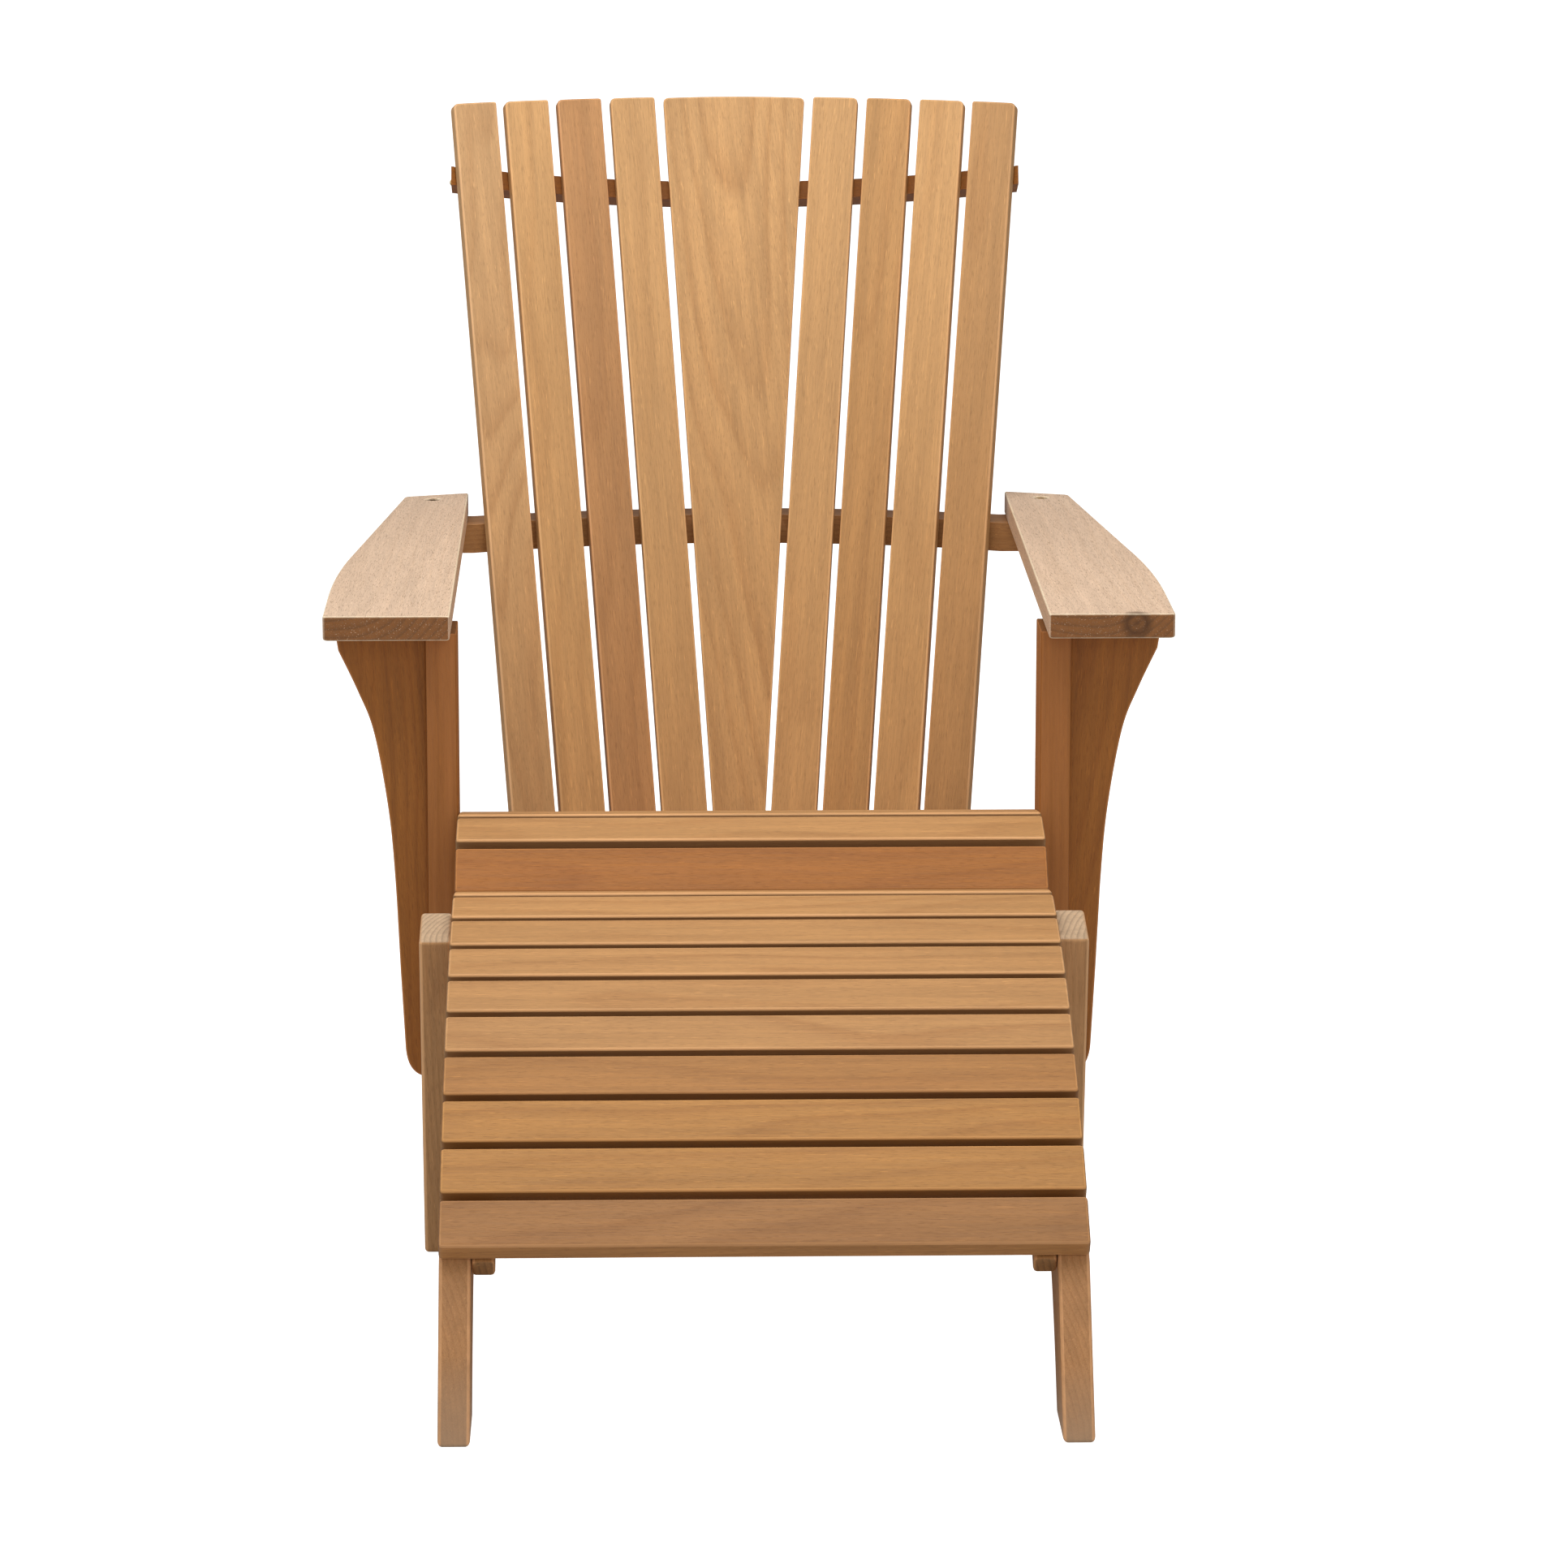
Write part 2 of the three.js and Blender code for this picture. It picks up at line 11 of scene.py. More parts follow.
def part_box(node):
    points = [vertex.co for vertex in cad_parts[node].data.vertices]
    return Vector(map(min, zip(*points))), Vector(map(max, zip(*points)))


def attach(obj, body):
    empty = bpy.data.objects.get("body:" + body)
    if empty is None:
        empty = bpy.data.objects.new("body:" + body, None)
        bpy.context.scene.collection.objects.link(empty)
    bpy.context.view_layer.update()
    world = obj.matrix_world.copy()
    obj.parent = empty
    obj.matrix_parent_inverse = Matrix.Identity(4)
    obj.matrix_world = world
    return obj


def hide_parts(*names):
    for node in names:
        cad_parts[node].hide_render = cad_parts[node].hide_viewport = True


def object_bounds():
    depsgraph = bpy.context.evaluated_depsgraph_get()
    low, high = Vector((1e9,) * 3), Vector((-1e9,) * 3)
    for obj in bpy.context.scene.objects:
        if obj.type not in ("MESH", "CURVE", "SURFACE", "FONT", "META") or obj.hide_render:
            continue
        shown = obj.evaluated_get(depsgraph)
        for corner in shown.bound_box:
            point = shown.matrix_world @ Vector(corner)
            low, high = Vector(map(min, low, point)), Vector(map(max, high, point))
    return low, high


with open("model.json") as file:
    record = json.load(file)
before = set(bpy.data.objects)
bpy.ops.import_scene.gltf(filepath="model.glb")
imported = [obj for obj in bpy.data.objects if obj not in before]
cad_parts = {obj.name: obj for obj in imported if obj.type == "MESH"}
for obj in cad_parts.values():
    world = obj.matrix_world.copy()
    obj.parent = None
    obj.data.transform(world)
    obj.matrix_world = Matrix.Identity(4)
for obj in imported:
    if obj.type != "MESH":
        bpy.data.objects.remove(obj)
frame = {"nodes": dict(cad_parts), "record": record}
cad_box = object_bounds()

NODES = frame["nodes"]
BODIES = frame["record"]["behaviour"]["bodies"]
BODY_OF = {node: body for body, nodes in BODIES.items() for node in nodes}

# ---------------------------------------------------------------- camera and studio

CAMERA_AHEAD = 4.4182                   # in front of the leg rest's feet
CAMERA_SIDE = -0.1014
CAMERA_HEIGHT = 1.5126
CAMERA_PAN = math.radians(1.482)        # to the right of straight ahead
CAMERA_TILT = math.radians(12.426)      # below the horizon
CAMERA_ROLL = math.radians(0.068)
CAMERA_LENS = 134.03                    # in millimetres, as the sensor is
CAMERA_SENSOR = 36.0
CAMERA_REACH = 200.0                    # farthest point that it sees

SKY_LIGHT = 0.44
KEY_POWER = 34.0
KEY_SIZE = (2.2, 1.3)
KEY_PLACE = Vector((-0.15, -0.40, 2.15))
FILL_POWER = 27.0
FILL_SIZE = (3.0, 2.0)
FILL_PLACE = Vector((0.4, -4.6, 1.9))
LIGHT_AIM = Vector((0.0, 0.0, 0.45))

FLOOR_HALF = 40.0                       # half its side
FLOOR_PAINT = (0.82, 0.82, 0.82, 1.0)
FLOOR_GLOW = 0.90                       # only the eye sees it: it hides most of the shadow
WHITE = (1.0, 1.0, 1.0, 1.0)


def place_object(name, data):
    thing = bpy.data.objects.new(name, data)
    bpy.context.collection.objects.link(thing)
    return thing


def build_camera():
    data = bpy.data.cameras.new("camera")
    data.lens = CAMERA_LENS
    data.sensor_width = CAMERA_SENSOR
    data.clip_end = CAMERA_REACH
    camera = place_object("camera", data)
    place = Matrix.Translation((CAMERA_SIDE, cad_box[0][1] - CAMERA_AHEAD, CAMERA_HEIGHT))
    turn = Matrix.Rotation(-CAMERA_PAN, 4, "Z") @ Matrix.Rotation(math.pi / 2 - CAMERA_TILT, 4, "X")
    camera.matrix_world = place @ turn @ Matrix.Rotation(CAMERA_ROLL, 4, "Z")
    bpy.context.scene.camera = camera


def add_softbox(name, power, size, place):
    data = bpy.data.lights.new(name, "AREA")
    data.shape = "RECTANGLE"
    data.energy = power
    data.size, data.size_y = size
    lamp = place_object(name, data)
    lamp.location = place
    lamp.rotation_euler = (place - LIGHT_AIM).to_track_quat("Z", "Y").to_euler()


def build_studio():
    world = bpy.data.worlds.new("studio")
    world.use_nodes = True
    sky = world.node_tree.nodes["Background"]
    sky.inputs["Color"].default_value = WHITE
    sky.inputs["Strength"].default_value = SKY_LIGHT
    bpy.context.scene.world = world
    add_softbox("key", KEY_POWER, KEY_SIZE, KEY_PLACE)
    add_softbox("fill", FILL_POWER, FILL_SIZE, FILL_PLACE)


def build_floor():
    corners = [(FLOOR_HALF * x, FLOOR_HALF * y, 0) for x, y in ((-1, -1), (1, -1), (1, 1), (-1, 1))]
    mesh = bpy.data.meshes.new("floor")
    mesh.from_pydata(corners, [], [(0, 1, 2, 3)])
    floor = place_object("floor", mesh)
    s = Shader("floor_paint")
    seen = s.node("LightPath").outputs["Is Camera Ray"]
    s.set_surface({"Base Color": FLOOR_PAINT, "Roughness": 0.95, "Specular IOR Level": 0.05,
                   "Emission Color": WHITE, "Emission Strength": s.calc("MULTIPLY", seen, FLOOR_GLOW)})
    mesh.materials.append(s.material)


# ---------------------------------------------------------------- shader helper

class Shader:
    """A material and short calls for the nodes that its recipe needs."""

    def __init__(self, name):
        self.material = bpy.data.materials.new(name)
        self.material.use_nodes = True
        self.tree = self.material.node_tree
        self.surface = self.tree.nodes["Principled BSDF"]

    def node(self, kind, **settings):
        node = self.tree.nodes.new("ShaderNode" + kind)
        for key, value in settings.items():
            setattr(node, key, value)
        return node

    def feed(self, socket, value):
        if isinstance(value, bpy.types.NodeSocket):
            self.tree.links.new(value, socket)
        else:
            socket.default_value = value

    def set_surface(self, values):
        """Gives the surface its values, by the names of its sockets."""
        for name, value in values.items():
            self.feed(self.surface.inputs[name], value)

    def calc(self, operation, *values):
        node = self.node("Math", operation=operation)
        for socket, value in zip(node.inputs, values):
            self.feed(socket, value)
        return node.outputs[0]

    def vector(self, operation, *values):
        node = self.node("VectorMath", operation=operation)
        for socket, value in zip(node.inputs, values):
            self.feed(socket, value)
        return node.outputs["Value" if operation in ("LENGTH", "DOT_PRODUCT") else "Vector"]

    def noise(self, place, waves, detail=2.0, roughness=0.5, output="Fac"):
        """Noise with that many waves in a metre along each axis."""
        node = self.node("TexNoise")
        self.feed(node.inputs["Vector"], self.vector("MULTIPLY", place, waves))
        node.inputs["Scale"].default_value = 1.0
        node.inputs["Detail"].default_value = detail
        node.inputs["Roughness"].default_value = roughness
        return node.outputs[output]

    def ramp(self, value, stops):
        node = self.node("ValToRGB")
        elements = node.color_ramp.elements
        while len(elements) < len(stops):
            elements.new(0.5)
        for element, (position, level) in zip(elements, stops):
            element.position = position
            element.color = (level, level, level, 1.0)
        self.feed(node.inputs["Fac"], value)
        return node.outputs["Color"]

    def mix(self, factor, first, second, blend="MIX"):
        node = self.node("Mix", data_type="RGBA", blend_type=blend)
        self.feed(node.inputs["Factor"], factor)
        first_socket, second_socket = [socket for socket in node.inputs if socket.type == "RGBA"]
        self.feed(first_socket, first)
        self.feed(second_socket, second)
        return next(socket for socket in node.outputs if socket.type == "RGBA")

    def bump(self, relief, strength, depth):
        node = self.node("Bump")
        node.inputs["Strength"].default_value = strength
        node.inputs["Distance"].default_value = depth
        self.feed(node.inputs["Height"], relief)
        return node.outputs["Normal"]


def shade(colour, factor=1.0):
    """A colour for a socket, made darker or paler by the factor."""
    return (*[factor * part for part in colour], 1.0)


# ---------------------------------------------------------------- recipes of the boards

# Heartwood colours, linear: the wood itself and the darker wood of its growth rings.
TONES = {
    "golden": ((0.70, 0.375, 0.150), (0.50, 0.235, 0.080)),
    "honey": ((0.63, 0.320, 0.115), (0.43, 0.185, 0.056)),
    "amber": ((0.60, 0.280, 0.074), (0.40, 0.160, 0.037)),
    "tan": ((0.54, 0.245, 0.070), (0.36, 0.140, 0.035)),
    "pale": ((0.82, 0.580, 0.400), (0.62, 0.390, 0.225)),
    "pink": ((0.68, 0.380, 0.170), (0.50, 0.250, 0.100)),
    "russet": ((0.57, 0.275, 0.105), (0.39, 0.160, 0.050)),
    "copper": ((0.60, 0.310, 0.120), (0.41, 0.180, 0.056)),
    "brown": ((0.47, 0.215, 0.068), (0.31, 0.125, 0.034)),
    "umber": ((0.345, 0.112, 0.007), (0.23, 0.064, 0.004)),
    "chestnut": ((0.46, 0.166, 0.028), (0.30, 0.092, 0.014)),
    "driftwood": ((0.62, 0.330, 0.135), (0.42, 0.195, 0.070)),
}

# How a plain board was sawn, what became of it and the light and shade painted on it. Families of boards,
# and some boards, differ from it.
PLAIN = {
    "tone": "brown",
    "spacing": 0.005,                   # of the growth rings
    "pith": (0.04, 0.11),               # middle of the rings, across and behind the board
    "lean": (0.006, 0.014),             # angles of the pith to the board, in radians
    "figure": 0.50,                     # how much the rings show
    "warp": 0.010,                      # how far the rings wander
    "streaking": 0.20,                  # how far the pale and dark streaks stand apart
    "pitting": 0.28,                    # how dark the pores are
    "end_wood": None,                   # colour of the sawn ends: by itself a dark shade of the wood
    "painted_gap_shade": 0.0,                       # how strong the painted shade on the narrow sides is, where the gaps between boards lie in shade
    "knots": (),                        # places in the frame of the model, each with a radius
    "painted_light_heights": None,                   # heights over which painted light makes the wood paler towards the top, with painted shade below
    "on_floor": False,                  # a foot goes grey
}

BACK = {"tone": "golden", "spacing": 0.007, "pith": (0.02, 0.16), "lean": (0.004, 0.012), "figure": 0.40,
        "painted_light_heights": (0.38, 0.90)}
SEAT = {"tone": "honey", "spacing": 0.006, "pith": (0.03, 0.12), "lean": (0.006, 0.010), "figure": 0.45,
        "painted_gap_shade": 0.7}
REST = {"tone": "honey", "spacing": 0.006, "pith": (0.02, 0.14), "lean": (0.005, 0.012), "figure": 0.45,
        "painted_gap_shade": 0.7}
# The arms' dark sawn ends are end grain and painted shade on the ends that face forward.
ARM = {"tone": "pale", "spacing": 0.007, "pith": (0.05, 0.10), "lean": (0.010, 0.018), "figure": 0.25,
       "end_wood": (0.30, 0.096, 0.006), "streaking": 0.14, "pitting": 0.6}
FAMILIES = {
    "back_slat": BACK,
    "seat_slat": SEAT,
    "seat_board": SEAT,
    "rest_slat": REST,
    "rest_strip": REST,
    "arm_left": ARM,
    "arm_right": ARM,
}

# Boards that differ from their family.
SPECIAL = {
    "back_slat_left_4": {"tone": "pink", "lean": (0.02, 0.05), "warp": 0.02, "figure": 0.6},
    "back_slat_left_2": {"tone": "russet"},
    "back_slat_left_1": {"knots": [(-0.085, 0.540, 0.600, 0.004)]},
    "back_slat_centre": {"lean": (0.10, 0.06), "pith": (0.0, 0.05), "spacing": 0.012, "figure": 0.65,
                         "warp": 0.012, "streaking": 0.25, "knots": [(-0.022, 0.680, 0.800, 0.006)]},
    "back_slat_right_2": {"tone": "honey"},
    "back_slat_right_4": {"tone": "copper"},
    # The upper back rail's dark umber is painted shade, where it lies behind the slats.
    "upper_back_rail": {"tone": "umber"},
    "arm_right": {"knots": [(0.345, -0.0706, 0.5300, 0.016)]},
    "seat_slat_01": {"tone": "chestnut"},
    "rest_slat_5": {"lean": (0.016, 0.020), "figure": 0.6},
    # Slats 6 to 9 get darker tones towards the front: painted shade, where less light falls on them.
    "rest_slat_6": {"tone": "tan"},
    "rest_slat_7": {"tone": "amber", "lean": (0.012, 0.024), "figure": 0.6},
    "rest_slat_8": {"tone": "amber"},
    "rest_slat_9": {"tone": "brown", "painted_gap_shade": 0.0},
}

# Boards that differ from it in the same way on the left and on the right.
SPECIAL_PAIRS = {
    # The dark front legs and arm brackets are partly darker wood, partly painted shade under the arms.
    "front_leg": {"tone": "umber"},
    "arm_bracket": {"tone": "chestnut"},
    "stringer": {"on_floor": True},
    "rest_stringer": {"tone": "russet", "end_wood": (0.50, 0.300, 0.155), "on_floor": True},
    # The posts' pale sawn ends, their tops, are painted light from above.
    "rest_post": {"tone": "driftwood", "end_wood": (0.74, 0.52, 0.33)},
}
SIDES = ("left", "right")
SPECIAL.update({f"{pair}_{side}": recipe for pair, recipe in SPECIAL_PAIRS.items() for side in SIDES})


def recipe_of(node):
    family = next((recipe for start, recipe in FAMILIES.items() if node.startswith(start)), {})
    return {**PLAIN, **family, **SPECIAL.get(node, {})}


# ---------------------------------------------------------------- teak

SEED_STEP = 3.17                        # along the grain, from one board's wood to the next one's

# Waves in a metre, along the grain and across it.
WANDER_WAVES = (1.7, 7.0, 7.0)
MOTTLE_WAVES = (2.4, 16.0, 16.0)
STREAK_WAVES = (3.0, 95.0, 95.0)
FIBRE_WAVES = (16.0, 620.0, 620.0)
PORE_WAVES = (105.0, 1700.0, 1700.0)
FLECK_WAVES = (60.0, 800.0, 800.0)

# How strong an effect is at some values of what it depends on. A facing is 1 where a surface faces along
# the grain, for END, or the way the board's broad face does, for EDGE.
LATE_IN_RING = [(0.0, 0.15), (0.12, 0.0), (0.55, 0.25), (0.86, 1.0), (1.0, 0.15)]
FIGURE_IN_MOTTLE = [(0.3, 0.35), (0.7, 1.0)]
PORE_IN_NOISE = [(0.585, 0.0), (0.67, 1.0)]
FLECK_IN_NOISE = [(0.66, 0.0), (0.74, 1.0)]
END_BY_FACING = [(0.60, 0.0), (0.88, 1.0)]
EDGE_BY_FACING = [(0.10, 0.0), (0.35, 1.0), (0.88, 1.0), (0.99, 0.0)]
WEAR_AND_HIGHLIGHT_IN_STREAKS = [(0.3, 0.35), (0.7, 0.75)]
GREY_BY_HEIGHT = [(0.15, 0.70), (0.50, 0.0)]                    # in sixths of a metre
SIXTHS = 6.0
DARK_IN_KNOT = [(0.0, 0.75), (0.30, 0.35), (0.55, 0.95), (0.75, 0.6), (1.0, 0.0)]

# Colours, and shades and strengths of the effects.
KNOT_WOOD = (0.070, 0.030, 0.011)
FOOT_GREY = (0.34, 0.225, 0.140)
PAINTED_SHADE_LOW = (0.93, 0.90, 0.80)          # tints of the wood: painted shade low down, painted light high up
PAINTED_LIGHT_HIGH = (1.08, 1.12, 1.13)
MOTTLE_SHADE = 0.84
FIBRE_SHADE = 0.82
FLECK_SHADE = 1.2
SAWN_SHADE = 0.62
SAWN_RING_SHADE = 0.55
DEEP_SHADE = 0.35                       # of the ring wood, in pores and in the painted shade on the narrow sides
SAWN_RINGS = 0.75
END_STRENGTH = 0.92
FLECK_STRENGTH = 0.35
KNOT_STRENGTH = 0.82
EDGE_WEAR_AND_HIGHLIGHT = (1.25, 0.05, 0.9)          # paler edges, wear and painted highlight: times the wood, plus this, at most this
LESS_WEAR_AND_HIGHLIGHT_ON_ENDS = 0.8                     # how much less of the wear and painted highlight there is on the sawn ends
FOOT_UNEVEN = 0.05                      # height that mottle adds where a foot's grey ends

GLOSS = 0.32
ROUGH = 0.50
ROUGH_FIBRES = 0.22
ROUGH_ENDS = 0.12
RELIEF_OF_RINGS = 0.4
RELIEF_OF_PORES = 0.9
RELIEF = 0.35
RELIEF_DEPTH = 0.00025

SPREAD_ROUNDS = 120                     # far more than any board needs
ANY_DIRECTION = (0.51, 0.62, 0.59)      # square to no board


def outer(first, second):
    return Matrix([[a * b for b in second] for a in first])


def strongest_direction(spread):
    """Direction in which the points spread most, found by repeated multiplication."""
    direction = Vector(ANY_DIRECTION)
    for _ in range(SPREAD_ROUNDS):
        direction = (spread @ direction).normalized()
    return direction


class Board:
    """A board's middle, and its directions along the grain, across it and square to its face."""

    def __init__(self, node):
        points = [vertex.co for vertex in NODES[node].data.vertices]
        self.middle = sum(points, Vector()) / len(points)
        spread = Matrix.Diagonal((0.0, 0.0, 0.0))
        for point in points:
            spread += outer(point - self.middle, point - self.middle)
        self.along = strongest_direction(spread)
        strength = self.along.dot(spread @ self.along)
        across = strongest_direction(spread - outer(strength * self.along, self.along))
        self.across = (across - across.dot(self.along) * self.along).normalized()
        self.face = self.along.cross(self.across)

    def turn(self):
        return Matrix((self.along, self.across, self.face))


class Teak(Shader):
    """One board's wood: rings round a pith, fibres and pores along it, end grain, its wear, and painted
    light and shade.
    """

    def __init__(self, node, seed, recipe):
        super().__init__(f"teak_{node}")
        self.recipe = recipe
        self.wood, self.ring_wood = TONES[recipe["tone"]]
        board = Board(node)
        coordinates = self.node("TexCoord")
        self.position = coordinates.outputs["Object"]
        self.normal = coordinates.outputs["Normal"]
        grain = self.grain(board, seed)
        wander = self.noise(grain, WANDER_WAVES, output="Color")
        self.wander = self.vector("SUBTRACT", wander, (0.5, 0.5, 0.5))
        self.late = self.late_wood(grain)
        self.mottle = self.noise(grain, MOTTLE_WAVES, 3.0, 0.55)
        self.streaks = self.noise(grain, STREAK_WAVES, 4.0, 0.62)
        self.fibres = self.noise(grain, FIBRE_WAVES, 3.0, 0.6)
        self.pores = self.ramp(self.noise(grain, PORE_WAVES, 1.0), PORE_IN_NOISE)
        self.flecks = self.ramp(self.noise(grain, FLECK_WAVES, 1.0), FLECK_IN_NOISE)
        self.end = self.ramp(self.facing(board.along), END_BY_FACING)
        self.flat = self.facing(board.face)

    def grain(self, board, seed):
        """Place in the tree: along its pith, and across it."""
        yaw, pitch = self.recipe["lean"]
        turn = Matrix.Rotation(yaw, 3, "Z") @ Matrix.Rotation(pitch, 3, "Y") @ board.turn()
        shift = Vector((seed * SEED_STEP, *self.recipe["pith"])) - turn @ board.middle
        mapping = self.node("Mapping")
        mapping.inputs["Rotation"].default_value = turn.to_euler()
        mapping.inputs["Location"].default_value = shift
        self.feed(mapping.inputs["Vector"], self.position)
        return mapping.outputs["Vector"]

    def late_wood(self, grain):
        """Dark part of each growth ring, which bends as the tree wandered."""
        bend = 4 * self.recipe["warp"]
        bent = self.vector("ADD", grain, self.vector("MULTIPLY", self.wander, (0.0, bend, bend)))
        radius = self.vector("LENGTH", self.vector("MULTIPLY", bent, (0.0, 1.0, 1.0)))
        ring = self.calc("FRACT", self.calc("DIVIDE", radius, self.recipe["spacing"]))
        return self.ramp(ring, LATE_IN_RING)

    def facing(self, direction):
        return self.calc("ABSOLUTE", self.vector("DOT_PRODUCT", self.normal, direction))

    def height(self):
        split = self.node("SeparateXYZ")
        self.feed(split.inputs[0], self.position)
        return split.outputs["Z"]

    def heartwood(self):
        figure = self.calc("MULTIPLY", self.recipe["figure"], self.ramp(self.mottle, FIGURE_IN_MOTTLE))
        rings = self.calc("MULTIPLY", self.late, figure)
        return self.mix(rings, shade(self.wood), shade(self.ring_wood))

    def sawn_ends(self, colour):
        wood = self.recipe["end_wood"] or [SAWN_SHADE * part for part in self.wood]
        rings = self.calc("MULTIPLY", self.late, SAWN_RINGS)
        sawn = self.mix(rings, shade(wood), shade(wood, SAWN_RING_SHADE))
        return self.mix(self.calc("MULTIPLY", self.end, END_STRENGTH), colour, sawn)

    def texture(self, colour):
        """Darker mottle, streaks and fibres, dark dashes of pores and pale flecks."""
        layers = ((self.mottle, 0.25, MOTTLE_SHADE), (self.streaks, 0.28, 1.0 - self.recipe["streaking"]),
                  (self.fibres, 0.25, FIBRE_SHADE))
        for layer, low, darkest in layers:
            tint = self.ramp(layer, [(low, darkest), (1.0 - low, 1.0)])
            colour = self.mix(1.0, colour, tint, "MULTIPLY")
        pores = self.calc("MULTIPLY", self.pores, self.recipe["pitting"])
        colour = self.mix(pores, colour, shade(self.ring_wood, DEEP_SHADE))
        flecks = self.calc("MULTIPLY", self.flecks, FLECK_STRENGTH)
        return self.mix(flecks, colour, shade(self.wood, FLECK_SHADE))

    # Painted light and shade: the wood is darker and warmer low down and paler higher up, as the light
    # falls off.
    def paint_light_by_height(self, colour, low, high):
        rise = self.calc("DIVIDE", self.calc("SUBTRACT", self.height(), low), high - low)
        painted_light_tint = self.mix(self.ramp(rise, [(0.0, 0.0), (1.0, 1.0)]), shade(PAINTED_SHADE_LOW), shade(PAINTED_LIGHT_HIGH))
        return self.mix(1.0, colour, painted_light_tint, "MULTIPLY")

    def grey_foot(self, colour):
        dryness = self.calc("ADD", self.height(), self.calc("MULTIPLY", self.mottle, FOOT_UNEVEN))
        grey = self.ramp(self.calc("MULTIPLY", dryness, SIXTHS), GREY_BY_HEIGHT)
        return self.mix(grey, colour, shade(FOOT_GREY))

    def knot(self, colour, x, y, z, reach):
        away = self.vector("SUBTRACT", self.position, (x, y, z))
        away = self.vector("ADD", away, self.vector("MULTIPLY", self.wander, (reach, reach, reach)))
        dark = self.ramp(self.calc("DIVIDE", self.vector("LENGTH", away), reach), DARK_IN_KNOT)
        return self.mix(self.calc("MULTIPLY", dark, KNOT_STRENGTH), colour, shade(KNOT_WOOD))

    # Paler eased edges: partly wear, partly a painted highlight where the rounding catches the light.
    def paint_edge_wear_and_highlight(self, colour):
        edge = self.ramp(self.flat, EDGE_BY_FACING)
        wear_and_highlight = self.calc("MULTIPLY", edge, self.ramp(self.streaks, WEAR_AND_HIGHLIGHT_IN_STREAKS))
        off_ends = self.calc("SUBTRACT", 1.0, self.calc("MULTIPLY", self.end, LESS_WEAR_AND_HIGHLIGHT_ON_ENDS))
        factor, lift, most = EDGE_WEAR_AND_HIGHLIGHT
        paler = shade([min(most, factor * part + lift) for part in self.wood])
        return self.mix(self.calc("MULTIPLY", wear_and_highlight, off_ends), colour, paler)

    # Painted shade: the narrow sides darken, as the shaded gaps between boards look.
    def paint_shade_on_sides(self, colour, painted_gap_shade):
        side = self.ramp(self.flat, [(0.15, painted_gap_shade), (0.55, 0.0)])
        side = self.calc("MULTIPLY", side, self.calc("SUBTRACT", 1.0, self.end))
        return self.mix(side, colour, shade(self.ring_wood, DEEP_SHADE))

    def roughness(self):
        rough = self.calc("ADD", ROUGH, self.calc("MULTIPLY", self.fibres, ROUGH_FIBRES))
        return self.calc("ADD", rough, self.calc("MULTIPLY", self.end, ROUGH_ENDS))

    def relief(self):
        ridges = self.calc("ADD", self.fibres, self.calc("MULTIPLY", self.late, RELIEF_OF_RINGS))
        relief = self.calc("SUBTRACT", ridges, self.calc("MULTIPLY", self.pores, RELIEF_OF_PORES))
        return self.bump(relief, RELIEF, RELIEF_DEPTH)


def teak(node, seed):
    recipe = recipe_of(node)
    s = Teak(node, seed, recipe)
    colour = s.texture(s.sawn_ends(s.heartwood()))
    if recipe["painted_light_heights"]:
        colour = s.paint_light_by_height(colour, *recipe["painted_light_heights"])
    if recipe["on_floor"]:
        colour = s.grey_foot(colour)
    for knot in recipe["knots"]:
        colour = s.knot(colour, *knot)
    colour = s.paint_edge_wear_and_highlight(colour)
    if recipe["painted_gap_shade"]:
        colour = s.paint_shade_on_sides(colour, recipe["painted_gap_shade"])
    s.set_surface({"Base Color": colour, "Roughness": s.roughness(), "Specular IOR Level": GLOSS,
                   "Normal": s.relief()})
    return s.material


# ---------------------------------------------------------------- boards

SHARP = math.radians(32)                # least angle between faces that aren't shaded as one
ARRIS = math.radians(40)                # least angle between faces whose edge is eased
FLAT = math.radians(0.5)                # greatest angle between faces that are joined into one
WELD = 0.00002                          # points closer than this are one point
EASE_STEPS = 3

# Width of the easing, for the first word that is in the board's name.
EASING = (("back_slat", 0.0026), ("slat", 0.003), ("arm_", 0.002), ("front_leg", 0.0012), ("", 0.0035))


def smoothing_tree():
    """Geometry nodes that shade a mesh smooth and leave its corners sharp."""
    tree = bpy.data.node_groups.new("smooth_faces", "GeometryNodeTree")
    tree.interface.new_socket("Geometry", in_out="INPUT", socket_type="NodeSocketGeometry")
    tree.interface.new_socket("Geometry", in_out="OUTPUT", socket_type="NodeSocketGeometry")
    start = tree.nodes.new("NodeGroupInput")
    end = tree.nodes.new("NodeGroupOutput")
    faces = tree.nodes.new("GeometryNodeSetShadeSmooth")
    edges = tree.nodes.new("GeometryNodeSetShadeSmooth")
    edges.domain = "EDGE"
    edges.inputs["Shade Smooth"].default_value = False
    angle = tree.nodes.new("GeometryNodeInputMeshEdgeAngle")
    sharp = tree.nodes.new("FunctionNodeCompare")
    sharp.data_type = "FLOAT"
    sharp.operation = "GREATER_THAN"
    sharp.inputs["B"].default_value = SHARP
    links = tree.links
    links.new(start.outputs[0], faces.inputs["Geometry"])
    links.new(faces.outputs[0], edges.inputs["Geometry"])
    links.new(angle.outputs["Unsigned Angle"], sharp.inputs["A"])
    links.new(sharp.outputs[0], edges.inputs["Selection"])
    links.new(edges.outputs[0], end.inputs[0])
    return tree


